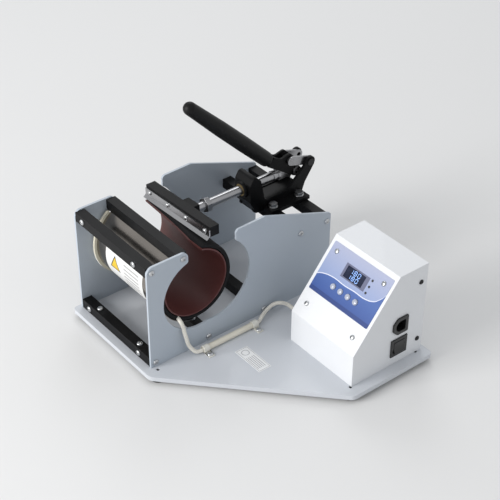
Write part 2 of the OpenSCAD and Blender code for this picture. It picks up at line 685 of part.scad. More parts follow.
// The grip is round, a little thinner towards its domed tip
module handle_grip() color([0.07, 0.07, 0.07])
  translate([press_x, by_lever(0, -grip_drop)[0], by_lever(0, -grip_drop)[1]])
  rotate([90 - handle_tilt, 0, 0]) difference() {
    r = grip_d / 2;
    tip_r = r * 0.82;
    rotate_extrude() polygon(concat(
      [[0, grip_start], [r * 0.8, grip_start], [r * 0.92, grip_start + 1.2],
       [r * 0.96, grip_start + 4], [r, grip_start + grip_l * 0.3],
       [r * 0.97, grip_start + grip_l * 0.6]],
      [for (a = [0:10:90]) [tip_r * cos(a), handle_l - tip_r * (1 - sin(a))]]));
    translate([-tang_w / 2, -5, grip_start - 6]) cube([tang_w, 10, tang_l + 2]);
  }

module handle_pin() color("silver") translate([press_x, rod_pin[0], rod_pin[1]]) {
  translate([-fork_out, 0, 0]) cylinder_x(pin_d / 2, 2 * fork_out);
  for (s = [-1, 1]) rotate([0, s * 90, 0]) translate([0, 0, fork_out])
    cylinder(r = 6.4, h = 2);
}

module link_pin() color("silver") translate([press_x, arm_pin[0], arm_pin[1]])
  translate([-link_in - link_t, 0, 0]) cylinder_x(pin_d / 2, 2 * (link_in + link_t));

module toggle_links() color("silver") for (s = [-1, 1]) difference() {
  along_x(press_x + s * (link_in + link_t / 2) - link_t / 2, link_t)
    bar_between(arm_pin, ear_pin, 6);
  for (p = [arm_pin, ear_pin]) translate([press_x - 20, p[0], p[1]])
    cylinder_x(pin_d / 2 + slip, 40);
}

// ---------------------------------------------------------------- control box

// The box's side view shrunk by d, and run on by e past the open rear and bottom
function box_outline(d, e = 0) =
  let (k = d * tan(slope_a / 2), m = d * tan((90 - slope_a) / 2))
  [[box_y + d, base_z - e], [box_y + d, base_z + box_front_h - m],
   [box_y + slope_run + k, base_z + box_h - d], [box_y + box_d + e, base_z + box_h - d],
   [box_y + box_d + e, base_z - e]];

module box_cover() color("white") difference() {
  along_x(box_x, box_w) polygon(box_outline(0));
  along_x(box_x + box_t, box_w - 2 * box_t) polygon(box_outline(box_t, 1));
  on_slope(window_at, -5) cube([window_size[0], window_size[1], 10]);
  for (i = [0:3]) on_slope([button_u + i * button_pitch, button_v], -5)
    cylinder(r = button_d / 2 + 0.15, h = 10);
  for (v = led_v) on_slope([led_u, v], -5) cylinder(r = 1.5 + 0.1, h = 10, $fn = 32);
  for (p = panel_screw_at) on_slope(p, -5) cylinder(r = 1.5 + hole_gap, h = 10, $fn = 32);
  for (p = side_screw_at, x = [box_x - 1, box_x + box_w - 4])
    translate([x, box_y + p[0], base_z + p[1]]) cylinder_x(1.5 + hole_gap, 5);
  translate([box_x + box_w - 4, switch_at[0] - switch_size[0] / 2 + 2,
    switch_at[1] - switch_size[1] / 2 + 2]) cube([8, switch_size[0] - 4, switch_size[1] - 4]);
  along_x(box_x + box_w - 4, 8) inlet_outline(-2);
  translate([box_x - 2, grommet_at[0], grommet_at[1]]) cylinder_x(6, 5);
}

module box_back() color("gainsboro") difference() {
  d = box_t + 0.1;
  y1 = box_y + box_d - box_t;
  union() {
    translate([box_x + d, y1, base_z + 0.1])
      cube([box_w - 2 * d, box_t, box_h - 2 * d]);
    // Flanges that take the side screws
    for (x = [box_x + d, box_x + box_w - d - box_t])
      translate([x, y1 - 14, base_z + 0.1]) cube([box_t, 14.1, box_h - 2 * d - 2]);
  }
  for (p = side_screw_at, x = [box_x, box_x + box_w - 6])
    translate([x, box_y + p[0], base_z + p[1]]) cylinder_x(1.5, 6);
  // Vent slots
  for (i = [0:5]) translate([box_x + box_w / 2 - 25, y1 - 1, base_z + 70 + i * 7])
    cube([50, box_t + 2, 3]);
}

module box_screws() color("silver") for (p = side_screw_at, s = [0, 1])
  translate([box_x + s * box_w, box_y + p[0], base_z + p[1]]) rotate([0, s == 1 ? 90 : -90, 0])
    screw(5, 1.5, 3.2, 2);

module panel_label() color([0.35, 0.42, 0.65]) difference() {
  on_slope([panel_u, panel_v]) linear_extrude(label_t) polygon(rounded([
    [0, 0, 1.5], [panel_w, 0, 1.5], [panel_w, panel_h, 1.5], [0, panel_h, 1.5]]));
  on_slope(window_at, -1) cube([window_size[0], window_size[1], 4]);
  for (i = [0:3]) on_slope([button_u + i * button_pitch, button_v], -1)
    cylinder(r = button_d / 2 + 0.15, h = 4);
  for (v = led_v) on_slope([led_u, v], -1) cylinder(r = 1.5 + 0.1, h = 4, $fn = 32);
  for (p = panel_screw_at) on_slope(p, -1) cylinder(r = 3.4, h = 4, $fn = 32);
}

module panel_screws() color("silver") for (p = panel_screw_at)
  on_slope(p) screw(box_t + 5.5, 1.5, 3.2, 1.8);

module display_window() color([0.08, 0.09, 0.16]) on_slope(window_at + [0.1, 0.1], -box_t)
  cube([window_size[0] - 0.2, window_size[1] - 0.2, box_t + 0.2]);

module display_module() color("black") on_slope(window_at + [1, 1], -board_w)
  cube([window_size[0] - 2, window_size[1] - 2, board_w - box_t]);

module control_board() color("darkgreen") {
  difference() {
    on_slope([8, 8], -board_w - 1.6) cube([box_w - 16, slope_l - 20, 1.6]);
    for (p = panel_screw_at) on_slope(p, -board_w - 3) cylinder(r = 1.5, h = 5, $fn = 32);
  }
  // Key switches under the buttons, and posts that hold the board off the sheet
  for (i = [0:3]) on_slope([button_u + i * button_pitch - 3, button_v - 3], -board_w)
    cube([6, 6, board_w - box_t - 0.8 - button_travel]);
  for (p = panel_screw_at) on_slope(p, -board_w) difference() {
    cylinder(r = 3, h = board_w - box_t, $fn = 32);
    translate([0, 0, -1]) cylinder(r = 1.5, h = board_w + 2, $fn = 32);
  }
}

module status_leds() color([0.1, 0.1, 0.12]) for (v = led_v) on_slope([led_u, v], -board_w) {
  cylinder(r = 1.5, h = board_w + 0.6, $fn = 32);
}

// A domed button that slides in the panel, with a collar under the sheet
module button(i) color("gainsboro") on_slope([button_u + i * button_pitch, button_v]) {
  r = button_d / 2;
  rotate_extrude() polygon([[0, -box_t - 0.7], [r + 0.8, -box_t - 0.7],
    [r + 0.8, -box_t - 0.1], [r, -box_t - 0.1], [r, 1.4], [r * 0.9, 2], [r * 0.6, 2.5],
    [r * 0.25, 2.7], [0, 2.75]]);
}

module button_1() button(0);
module button_2() button(1);
module button_3() button(2);
module button_4() button(3);

// ---------------------------------------------------------------- switch and inlet

rocker_x = box_x + box_w - 1.5;       // the rocker's pin
rocker_tilt = 7;

module switch_housing() color("black") difference() {
  w = switch_size;
  union() {
    translate([box_x + box_w, switch_at[0] - w[0] / 2, switch_at[1] - w[1] / 2])
      cube([1.8, w[0], w[1]]);
    translate([box_x + box_w - 16, switch_at[0] - w[0] / 2 + 2, switch_at[1] - w[1] / 2 + 2])
      cube([16.1, w[0] - 4, w[1] - 4]);
  }
  translate([box_x + box_w - 8, switch_at[0] - w[0] / 2 + 4, switch_at[1] - w[1] / 2 + 4])
    cube([12, w[0] - 8, w[1] - 8]);
  translate([rocker_x, switch_at[0] - w[0] / 2 + 2.5, switch_at[1]])
    cylinder_y(1.5 + slip, w[0] - 5);
}

module switch_rocker() color("black") translate([rocker_x, switch_at[0], switch_at[1]])
  rotate([0, -rocker_tilt, 0]) {
    l = switch_size[0] - 8.6;
    h = (switch_size[1] - 8) / 2;
    translate([0, l / 2, 0]) rotate([90, 0, 0]) linear_extrude(l) polygon([
      [-2.5, -h + 2], [1.6, -h + 0.7], [4.8, -h + 0.9], [3.4, 0], [4.8, h - 0.9],
      [1.6, h - 0.7], [-2.5, h - 2]]);
    translate([0, -l / 2 - 1.5, 0]) cylinder_y(1.5, l + 3);
  }

// The inlet's outline: flat at the rear, cut corners at the front, grown by d
module inlet_outline(d)
  let (w = 12 + d, k = 5 + d * tan(22.5))
  translate(inlet_at) polygon(rounded([[w, -w, 2], [w, w, 2], [-k, w, 4], [-w, k, 4],
    [-w, -k, 4], [-k, -w, 4]]));

module power_inlet() color("black") {
  difference() {
    union() {
      along_x(box_x + box_w, 2) inlet_outline(0);
      along_x(box_x + box_w - 20, 20.1) inlet_outline(-2);
    }
    along_x(box_x + box_w - 13, 20) inlet_outline(-4.5);
  }
  for (p = [[0, -4.5], [0, 4.5], [5, 0]])
    translate([box_x + box_w - 14, inlet_at[0] + p[0] - 1, inlet_at[1] + p[1] - 0.5])
      cube([9, 2, 1]);
}

module heater_relay() color("white") translate([box_x + 30, box_y + 50, base_z])
  cube([58, 26, 22]);

module lead_grommet() color("black") translate([box_x, grommet_at[0], grommet_at[1]])
  difference() {
    union() {
      translate([-2, 0, 0]) cylinder_x(7.5, 2);
      translate([-0.1, 0, 0]) cylinder_x(6, 4);
    }
    translate([-3, 0, 0]) cylinder_x(lead_d / 2 + 0.3, 8);
  }

base_plate();
rubber_feet();
foot_screws();
left_side_plate();
right_side_plate();
front_top_bar();
inner_top_bar();
front_bottom_bar();
middle_bottom_bar();
rear_bottom_bar();
clamp_bar_front();
clamp_bar_rear();
frame_screws();
bar_base_screws();
heat_shell();
shell_end_ring();
shell_screws();
warning_label();
mat_silicone();
mat_foam();
heater_lead();
lead_sleeve();
lead_clips();
clip_screws();
rating_label();
clamp_body();
rod_bush();
clamp_bolts();
ear_rivets();
push_rod();
rod_end_block();
rod_lock_nut();
pusher_bar();
mat_strip();
strip_screws();
block_screws();
handle_lever();
handle_grip();
handle_pin();
link_pin();
toggle_links();
box_cover();
box_back();
box_screws();
panel_label();
panel_screws();
display_window();
display_module();
control_board();
status_leds();
button_1();
button_2();
button_3();
button_4();
switch_housing();
switch_rocker();
power_inlet();
heater_relay();
lead_grommet();
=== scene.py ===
# %% [markdown]
# # A press for printing mugs
# The metal frame of this machine, its screws, its pins and its moving joints come ready
# made in one shared frame. This lesson adds what a camera sees: paint, rubber, silicone,
# braided lead, printed labels, and the light of a small studio.

# %% Load the frame
import bpy
import bmesh
import json
import math
import numpy as np
from mathutils import Matrix, Vector

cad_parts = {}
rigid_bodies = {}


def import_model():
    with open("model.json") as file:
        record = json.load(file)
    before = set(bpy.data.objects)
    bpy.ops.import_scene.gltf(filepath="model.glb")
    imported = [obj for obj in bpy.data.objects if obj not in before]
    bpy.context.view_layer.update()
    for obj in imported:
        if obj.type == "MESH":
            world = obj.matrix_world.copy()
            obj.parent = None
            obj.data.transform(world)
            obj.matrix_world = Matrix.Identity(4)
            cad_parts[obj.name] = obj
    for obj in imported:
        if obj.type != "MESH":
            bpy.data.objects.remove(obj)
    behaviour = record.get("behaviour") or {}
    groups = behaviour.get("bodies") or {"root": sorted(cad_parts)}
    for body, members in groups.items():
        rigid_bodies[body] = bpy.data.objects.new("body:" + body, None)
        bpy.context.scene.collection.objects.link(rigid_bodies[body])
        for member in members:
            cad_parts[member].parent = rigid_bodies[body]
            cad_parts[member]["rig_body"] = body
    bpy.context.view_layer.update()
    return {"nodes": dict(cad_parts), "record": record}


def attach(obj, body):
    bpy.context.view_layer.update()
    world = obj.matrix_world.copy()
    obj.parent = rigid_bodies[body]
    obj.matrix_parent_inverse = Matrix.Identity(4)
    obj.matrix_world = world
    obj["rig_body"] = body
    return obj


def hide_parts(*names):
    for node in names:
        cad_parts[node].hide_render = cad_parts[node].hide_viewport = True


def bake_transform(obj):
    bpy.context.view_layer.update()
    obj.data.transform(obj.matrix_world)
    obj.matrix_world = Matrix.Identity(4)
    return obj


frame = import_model()
nodes = frame["nodes"]
scene = bpy.context.scene
scene.view_settings.view_transform = "Standard"
MM = 0.001

# %% [markdown]
# ## The camera
# The press is seen from above and from its right, so that the mat, the clamp and the
# sloping panel all show. A long lens from more than a metre away keeps the upright edges
# nearly parallel. The camera is built from its azimuth, elevation and a slight roll,
# because these say where it stands better than a rotation matrix would.

# %% Camera
AZIMUTH, ELEVATION, ROLL = map(math.radians, (51.29, 35.93, 0.317))
CAMERA_AT = Vector((0.98762, -0.80089, 1.05021))
LENS_MM, SENSOR_MM = 95.49, 36
NEAR, FAR = 0.05, 20

camera = bpy.data.objects.new("camera", bpy.data.cameras.new("camera"))
scene.collection.objects.link(camera)
scene.camera = camera
camera.data.lens = LENS_MM
camera.data.sensor_width = SENSOR_MM
camera.data.clip_start, camera.data.clip_end = NEAR, FAR
back = Vector((math.sin(AZIMUTH) * math.cos(ELEVATION),
               -math.cos(AZIMUTH) * math.cos(ELEVATION), math.sin(ELEVATION)))
right = Vector((math.cos(AZIMUTH), math.sin(AZIMUTH), 0))
up = back.cross(right)
right, up = (right * math.cos(ROLL) + up * math.sin(ROLL),
             up * math.cos(ROLL) - right * math.sin(ROLL))
pose = Matrix((right, up, back)).transposed().to_4x4()
pose.translation = CAMERA_AT
camera.matrix_world = pose
print("camera", round(CAMERA_AT.length, 2), "m away")

# %% [markdown]
# ## The studio
# White paint only looks white when large pale surfaces surround it. A wide floor runs out
# of view on all sides, one big soft light stands on the operator's side, and a weaker one
# behind on the left lights the edges that face away from it.

# %% Helpers for objects and lights
def area_light(name, at, aim, size, power, colour):
    """A square soft light at a point, turned towards another."""
    data = bpy.data.lights.new(name, "AREA")
    data.size, data.energy, data.color = size, power, colour
    lamp = bpy.data.objects.new(name, data)
    lamp.location = at
    lamp.rotation_mode = "QUATERNION"
    lamp.rotation_quaternion = (Vector(aim) - Vector(at)).to_track_quat("-Z", "Y")
    scene.collection.objects.link(lamp)


def plain_mesh(name, verts, faces, material=None, smooth=False):
    """An object at the origin made from points in metres, with its faces turned outward."""
    mesh = bpy.data.meshes.new(name)
    mesh.from_pydata([tuple(v) for v in verts], [], faces)
    bm = bmesh.new()
    bm.from_mesh(mesh)
    bmesh.ops.recalc_face_normals(bm, faces=bm.faces)
    bm.to_mesh(mesh)
    bm.free()
    if smooth:
        mesh.shade_smooth()
    obj = bpy.data.objects.new(name, mesh)
    scene.collection.objects.link(obj)
    if material:
        mesh.materials.append(material)
    return obj


print("helpers for square lights and for plain meshes")

# %% [markdown]
# ## Finishes
# Every finish is built from the same few steps. A fine noise gives the tooth of the
# surface through a bump, a broad noise shifts the colour and the gloss a little, and the
# result goes into one principled shader. What differs between paint, steel and rubber is
# the numbers, so they stand in one table.

# %% A small builder for node materials
class Finish:
    def __init__(self, name, metal=0.0, coat=0.0, specular=0.5):
        self.material = bpy.data.materials.new(name)
        self.material.use_nodes = True
        self.tree = self.material.node_tree
        self.shader = self.tree.nodes["Principled BSDF"]
        self.shader.inputs["Metallic"].default_value = metal
        self.shader.inputs["Coat Weight"].default_value = coat
        self.shader.inputs["Specular IOR Level"].default_value = specular
        self.coords = self.node("ShaderNodeTexCoord")

    def node(self, kind, **facts):
        made = self.tree.nodes.new(kind)
        for key, value in facts.items():
            setattr(made, key, value)
        return made

    def plug(self, value, socket):
        if isinstance(value, bpy.types.NodeSocket):
            self.tree.links.new(value, socket)
        else:
            socket.default_value = value

    def math(self, operation, a, b=0.0, c=0.0):
        made = self.node("ShaderNodeMath", operation=operation)
        for value, socket in zip((a, b, c), made.inputs):
            self.plug(value, socket)
        return made.outputs[0]

    def place(self, stretch=(1, 1, 1), source="Object"):
        made = self.node("ShaderNodeMapping")
        self.plug(self.coords.outputs[source], made.inputs["Vector"])
        made.inputs["Scale"].default_value = stretch
        return made.outputs[0]

    def noise(self, where, scale, detail=3.0, rough=0.5):
        made = self.node("ShaderNodeTexNoise")
        self.plug(where, made.inputs["Vector"])
        made.inputs["Scale"].default_value = scale
        made.inputs["Detail"].default_value = detail
        made.inputs["Roughness"].default_value = rough
        return made.outputs["Fac"]

    def remap(self, value, low, high, lo=0.3, hi=0.7):
        made = self.node("ShaderNodeMapRange")
        for at, number in ((0, value), (1, lo), (2, hi), (3, low), (4, high)):
            self.plug(number, made.inputs[at])
        return made.outputs[0]

    def mix(self, factor, a, b):
        made = self.node("ShaderNodeMix", data_type="RGBA")
        self.plug(factor, made.inputs[0])
        self.plug(tuple(a) + (1,) if isinstance(a, (tuple, list)) else a, made.inputs[6])
        self.plug(tuple(b) + (1,) if isinstance(b, (tuple, list)) else b, made.inputs[7])
        return made.outputs[2]

    def split(self, where):
        made = self.node("ShaderNodeSeparateXYZ")
        self.plug(where, made.inputs[0])
        return made.outputs[0], made.outputs[1], made.outputs[2]

    def between(self, value, low, high):
        """1 where the value lies between two numbers."""
        return self.math("MULTIPLY", self.math("GREATER_THAN", value, low),
                         self.math("LESS_THAN", value, high))

    def done(self, colour, roughness, height=None, strength=0.1, depth=0.0002):
        self.plug(colour, self.shader.inputs["Base Color"])
        self.plug(roughness, self.shader.inputs["Roughness"])
        if height is not None:
            bump = self.node("ShaderNodeBump")
            bump.inputs["Strength"].default_value = strength
            bump.inputs["Distance"].default_value = depth
            self.plug(height, bump.inputs["Height"])
            self.plug(bump.outputs[0], self.shader.inputs["Normal"])
        return self.material


def shade(colour, factor):
    return tuple(min(1.0, c * factor) for c in colour)


def surface(name, colour, rough, metal=0.0, coat=0.0, specular=0.5, vary=0.06, grain=1400,
            tooth=0.12, stretch=(1, 1, 1), broad=9):
    """Most of the finishes: a tooth of fine grain, and a broad drift of colour and gloss."""
    f = Finish(name, metal, coat, specular)
    fine = f.noise(f.place(stretch), grain, 2.0)
    drift = f.noise(f.place(), broad, 4.0)
    tone = f.mix(f.remap(drift, 0.0, 1.0), shade(colour, 1 - vary), shade(colour, 1 + vary))
    tone = f.mix(f.math("MULTIPLY", fine, vary), tone, shade(colour, 0.5))
    gloss = f.math("ADD", f.remap(drift, rough * 0.85, rough * 1.12),
                   f.math("MULTIPLY", fine, 0.06))
    return f.done(tone, gloss, fine, tooth)


print("a builder for node materials")

# %% The table of finishes
ALONG_X, ALONG_Y = (0.04, 1, 1), (1, 0.04, 1)
FINISHES = {
    "powder_blue_grey": dict(colour=(0.43, 0.48, 0.54), rough=0.36, coat=0.08, grain=1500,
                             tooth=0.16, vary=0.03),
    "powder_grey": dict(colour=(0.56, 0.585, 0.625), rough=0.38, coat=0.12, grain=1500,
                        tooth=0.16, vary=0.03),
    "powder_white": dict(colour=(0.72, 0.735, 0.76), rough=0.40, coat=0.1, grain=1500,
                         tooth=0.14, vary=0.02),
    "black_bar": dict(colour=(0.005, 0.005, 0.0055), rough=0.4, grain=900, tooth=0.1,
                      stretch=ALONG_X, vary=0.25, specular=0.14),
    "black_casting": dict(colour=(0.004, 0.004, 0.0045), rough=0.42, grain=700, tooth=0.3,
                          vary=0.25, specular=0.14),
    "steel": dict(colour=(0.40, 0.40, 0.41), rough=0.26, metal=1.0, grain=900, tooth=0.1,
                  stretch=ALONG_Y, vary=0.08),
    "screw_steel": dict(colour=(0.58, 0.59, 0.60), rough=0.28, metal=1.0, grain=1600,
                        tooth=0.12, vary=0.1),
    "black_screw": dict(colour=(0.012, 0.012, 0.013), rough=0.35, grain=1600, vary=0.2,
                        specular=0.4),
    "shell_steel": dict(colour=(0.30, 0.275, 0.25), rough=0.2, metal=1.0, grain=700,
                        tooth=0.05, stretch=ALONG_X, vary=0.12, broad=24),
    "brass": dict(colour=(0.30, 0.22, 0.10), rough=0.35, metal=1.0, grain=900, vary=0.1),
    "foam": dict(colour=(0.012, 0.012, 0.013), rough=0.85, grain=1100, tooth=0.7,
                 specular=0.2, vary=0.3),
    "rubber": dict(colour=(0.005, 0.005, 0.005), rough=0.42, grain=1200, tooth=0.25,
                   specular=0.2, vary=0.2),
    "sleeve_beige": dict(colour=(0.70, 0.67, 0.57), rough=0.4, grain=1500, tooth=0.3,
                         stretch=ALONG_Y, vary=0.1),
    "ring_cream": dict(colour=(0.72, 0.68, 0.55), rough=0.7, grain=1300, tooth=0.5,
                       vary=0.08),
    "clip_nylon": dict(colour=(0.70, 0.69, 0.63), rough=0.45, grain=1200, vary=0.04),
    "black_plastic": dict(colour=(0.012, 0.012, 0.013), rough=0.3, grain=1300, tooth=0.12,
                          vary=0.2),
    "button_grey": dict(colour=(0.40, 0.43, 0.52), rough=0.2, coat=0.4, grain=900,
                        tooth=0.03, vary=0.04),
    "board_green": dict(colour=(0.02, 0.14, 0.05), rough=0.35, grain=700, vary=0.15),
    "relay_white": dict(colour=(0.75, 0.75, 0.72), rough=0.5, grain=900, vary=0.04),
}
materials = {name: surface(name, **facts) for name, facts in FINISHES.items()}
print(len(materials), "finishes from the table")

# %% [markdown]
# ### Silicone, braid and tinted window
# The heating layer has a wire wound inside it, which shows as faint ribs round the mug.
# The lead's glass braid is drawn over its UV map: two sets of slanted threads, one passing
# over the other. The window of the display is dark and clear.

# %% Silicone, braid and window
RIB_SCALE, RIB_WOBBLE = 60, 0.6
THREADS_ROUND, FULL_TURN = 6.0, 6.2832


def silicone_finish():
    f = Finish("silicone", specular=0.45)
    fine = f.noise(f.place(), 1500, 2.0)
    drift = f.noise(f.place(), 14, 4.0)
    ribs = f.node("ShaderNodeTexWave", bands_direction="X")
    f.plug(f.place(), ribs.inputs["Vector"])
    ribs.inputs["Scale"].default_value = RIB_SCALE
    ribs.inputs["Distortion"].default_value = RIB_WOBBLE
    tone = f.mix(f.remap(drift, 0.0, 1.0), (0.075, 0.019, 0.018), (0.115, 0.034, 0.031))
    tone = f.mix(f.math("MULTIPLY", fine, 0.3), tone, (0.16, 0.06, 0.055))
    height = f.math("ADD", f.math("MULTIPLY", ribs.outputs["Fac"], 0.5), fine)
    return f.done(tone, f.remap(drift, 0.38, 0.5), height, 0.2)


def braid_finish():
    f = Finish("lead_cream", specular=0.3)
    u, v, _ = f.split(f.place(source="UV"))
    waves = []
    for sign in (1, -1):
        slant = f.math("ADD", u, f.math("MULTIPLY", v, THREADS_ROUND * sign))
        waves.append(f.math("SINE", f.math("MULTIPLY", slant, FULL_TURN)))
    over = f.math("GREATER_THAN", f.math("SINE", f.math("MULTIPLY", u, FULL_TURN)), 0.0)
    height = f.math("ADD", f.math("MULTIPLY", waves[0], over),
                    f.math("MULTIPLY", waves[1], f.math("SUBTRACT", 1.0, over)))
    fibres = f.noise(f.place(), 2200, 2.0)
    # The threads' colour follows the bump height: painted shade in the hollows where the
    # weave dips and painted light on its crowns.
    tone = f.mix(f.remap(height, 0.0, 1.0, -0.8, 0.4),
                 (0.58, 0.55, 0.48), (0.88, 0.86, 0.79))
    tone = f.mix(f.math("MULTIPLY", fibres, 0.2), tone, (0.95, 0.93, 0.88))
    return f.done(tone, f.remap(fibres, 0.5, 0.75), height, 0.5, 0.0003)


def window_finish():
    f = Finish("window", specular=0.18)
    drift = f.noise(f.place(), 120, 3.0)
    tone = f.mix(f.remap(drift, 0.0, 1.0), (0.010, 0.014, 0.035), (0.016, 0.022, 0.05))
    return f.done(tone, f.remap(drift, 0.2, 0.28))


materials["silicone"] = silicone_finish()
materials["lead_cream"] = braid_finish()
materials["window"] = window_finish()
print("silicone, braid and window")

# %% [markdown]
# ## Printed labels
# The labels are printed, so their pictures are worked out from the coordinates of the
# surface. The panel's label has a pale upper part and a blue lower part that meet in a long
# wave; the curve of the wave is a row of heights above the label's lower edge.

# %% The panel's label
BOX_X, BOX_Y, SLOPE_Z = 0.046, 0.0185, 0.057
SLOPE = math.atan2(84, 67)
WAVE = ((3.5, 55), (14, 60), (29, 62.5), (49, 62), (65, 63), (82, 63), (94, 66), (101, 72),
        (106, 81))
WAVE_LOW, WAVE_HIGH, LABEL_WIDE = 50.0, 90.0, 110.0
DARK_BELOW = 41.0
BEZEL_ACROSS, BEZEL_UP = (35.6, 75.5), (68.5, 87.0)
EDGE_LINE = (-0.7, 0.5)


def slope_coordinates(f):
    """Millimetres across and up the sloping face, from its lower left corner."""
    x, y, z = f.split(f.place())
    u = f.math("MULTIPLY", f.math("SUBTRACT", x, BOX_X), 1000)
    run = f.math("MULTIPLY", f.math("SUBTRACT", y, BOX_Y), 1000 * math.cos(SLOPE))
    rise = f.math("MULTIPLY", f.math("SUBTRACT", z, SLOPE_Z), 1000 * math.sin(SLOPE))
    return u, f.math("ADD", run, rise)


def panel_finish():
    f = Finish("label_blue", specular=0.3)
    u, v = slope_coordinates(f)
    curve = f.node("ShaderNodeFloatCurve")
    points = curve.mapping.curves[0].points
    places = [(a / LABEL_WIDE, (b - WAVE_LOW) / (WAVE_HIGH - WAVE_LOW)) for a, b in WAVE]
    points[0].location, points[-1].location = places[0], places[-1]
    for a, b in places[1:-1]:
        points.new(a, b)
    curve.mapping.update()
    f.plug(f.math("DIVIDE", u, LABEL_WIDE), curve.inputs["Value"])
    rise = f.math("MULTIPLY", curve.outputs[0], WAVE_HIGH - WAVE_LOW)
    wave = f.math("ADD", rise, WAVE_LOW)
    print_grain = f.noise(f.place(), 1600, 2.0)
    pale = f.mix(f.remap(v, 0.0, 1.0, 60, 100), (0.26, 0.33, 0.54), (0.38, 0.41, 0.55))
    blue = f.mix(f.remap(v, 0.0, 1.0, 36, 62), (0.03, 0.075, 0.28), (0.06, 0.125, 0.36))
    tone = f.mix(f.math("LESS_THAN", v, wave), pale, blue)
    edge = f.between(f.math("SUBTRACT", v, wave), *EDGE_LINE)
    tone = f.mix(f.math("MULTIPLY", edge, 0.8), tone, (0.80, 0.82, 0.90))
    tone = f.mix(f.math("LESS_THAN", v, DARK_BELOW), tone, (0.02, 0.05, 0.20))
    bezel = f.math("MULTIPLY", f.between(u, *BEZEL_ACROSS), f.between(v, *BEZEL_UP))
    tone = f.mix(bezel, tone, (0.13, 0.14, 0.22))
    tone = f.mix(f.math("MULTIPLY", print_grain, 0.08), tone, (0.2, 0.2, 0.3))
    return f.done(tone, f.remap(print_grain, 0.3, 0.4), print_grain, 0.05)


materials["label_blue"] = panel_finish()
print("panel label: a wave through", len(WAVE), "points")

# %% [markdown]
# The label on the shell is plain white with a plain yellow triangle. It follows the curve
# of the shell, so height on it is an angle round the mat's centre. The label on the base
# plate has a thin frame, a ring and a few rules.

# %% Labels on the shell and on the base plate
PRESS_X, MAT_Y, MAT_Z = -0.091, -0.071, 0.0985
DEG = math.pi / 180
TRIANGLE = dict(x=-117.5, half=10.5, low=-11.0, high=11.0, line=1.6)
ROWS_ACROSS, ROWS_ANGLE, ROWS_PACE = (-99, -68), (-24, 9), 1.05
RATING = dict(x=(22.5, 69.5), y=(-50.0, -31.5))
FRAME_OUTER, FRAME_INNER = 1.0, 1.5
RING_AT, RING_BAND = (9.0, 9.2), (4.2, 5.0)
RULES_ACROSS, RULES_UP, RULES_PACE = (18, 42), (3.0, 15.5), 2.4


def shell_label_finish():
    f = Finish("label_white", specular=0.4)
    x, y, z = f.split(f.place())
    mm = f.math("MULTIPLY", x, 1000)
    angle = f.math("DIVIDE", f.math("ARCTAN2", f.math("SUBTRACT", z, MAT_Z),
                                    f.math("SUBTRACT", MAT_Y, y)), DEG)
    t = TRIANGLE
    side = f.math("ABSOLUTE", f.math("SUBTRACT", mm, t["x"]))
    left_over = f.math("DIVIDE", f.math("SUBTRACT", t["high"], angle), t["high"] - t["low"])
    reach = f.math("SUBTRACT", f.math("MULTIPLY", left_over, t["half"]), side)
    above = f.math("GREATER_THAN", angle, t["low"])
    dark = f.math("MULTIPLY", f.math("GREATER_THAN", reach, 0.0), above)
    inner = f.math("MULTIPLY", f.math("GREATER_THAN", reach, t["line"]),
                   f.math("GREATER_THAN", angle, t["low"] + t["line"]))
    grain = f.noise(f.place(), 1500, 2.0)
    tone = f.mix(f.math("MULTIPLY", grain, 0.1), (0.78, 0.78, 0.77), (0.6, 0.6, 0.6))
    wave = f.math("SINE", f.math("MULTIPLY", angle, ROWS_PACE))
    rows = f.math("MULTIPLY", f.between(mm, *ROWS_ACROSS), f.math("GREATER_THAN", wave, 0.25))
    rows = f.math("MULTIPLY", rows, f.between(angle, *ROWS_ANGLE))
    tone = f.mix(f.math("MULTIPLY", rows, 0.55), tone, (0.12, 0.12, 0.13))
    tone = f.mix(dark, tone, (0.02, 0.02, 0.02))
    tone = f.mix(inner, tone, (0.75, 0.50, 0.03))
    return f.done(tone, f.remap(grain, 0.3, 0.42), grain, 0.05)


def rating_label_finish():
    f = Finish("rating_print", specular=0.4)
    x, y, _ = f.split(f.place())
    u = f.math("SUBTRACT", f.math("MULTIPLY", x, 1000), RATING["x"][0])
    v = f.math("SUBTRACT", f.math("MULTIPLY", y, 1000), RATING["y"][0])
    wide, high = (b - a for a, b in (RATING["x"], RATING["y"]))
    inside, deeper = (f.math("MULTIPLY", f.between(u, edge, wide - edge),
                             f.between(v, edge, high - edge))
                      for edge in (FRAME_OUTER, FRAME_INNER))
    frame_line = f.math("SUBTRACT", inside, deeper)
    squares = [f.math("POWER", f.math("SUBTRACT", value, middle), 2.0)
               for value, middle in zip((u, v), RING_AT)]
    away = f.math("SQRT", f.math("ADD", *squares))
    ring = f.between(away, *RING_BAND)
    rules = f.math("GREATER_THAN", f.math("SINE", f.math("MULTIPLY", v, RULES_PACE)), 0.55)
    rules = f.math("MULTIPLY", rules, f.math("MULTIPLY", f.between(u, *RULES_ACROSS),
                                             f.between(v, *RULES_UP)))
    ink = f.math("MAXIMUM", frame_line, f.math("MAXIMUM", ring, rules))
    grain = f.noise(f.place(), 1500, 2.0)
    tone = f.mix(f.math("MULTIPLY", grain, 0.1), (0.80, 0.81, 0.82), (0.6, 0.6, 0.6))
    tone = f.mix(f.math("MULTIPLY", ink, 0.7), tone, (0.12, 0.12, 0.14))
    return f.done(tone, f.remap(grain, 0.3, 0.42), grain, 0.05)


materials["label_white"] = shell_label_finish()
rating_print = rating_label_finish()
print("two printed labels")

# %% [markdown]
# ## Dressing the metal
# Each ready-made piece takes the finish of its slot. Sheet metal, bars and castings never
# have knife edges, so copies of them with small rounded edges stand in for the sharp ones.

# %% Finish every piece
slots = {row["node"]: row["material_slot"] for row in frame["record"]["subparts"]}
for name, obj in nodes.items():
    obj.data.materials.clear()
    obj.data.materials.append(materials[slots[name]])
nodes["rating_label"].data.materials[0] = rating_print
print("finished", len(nodes), "pieces")

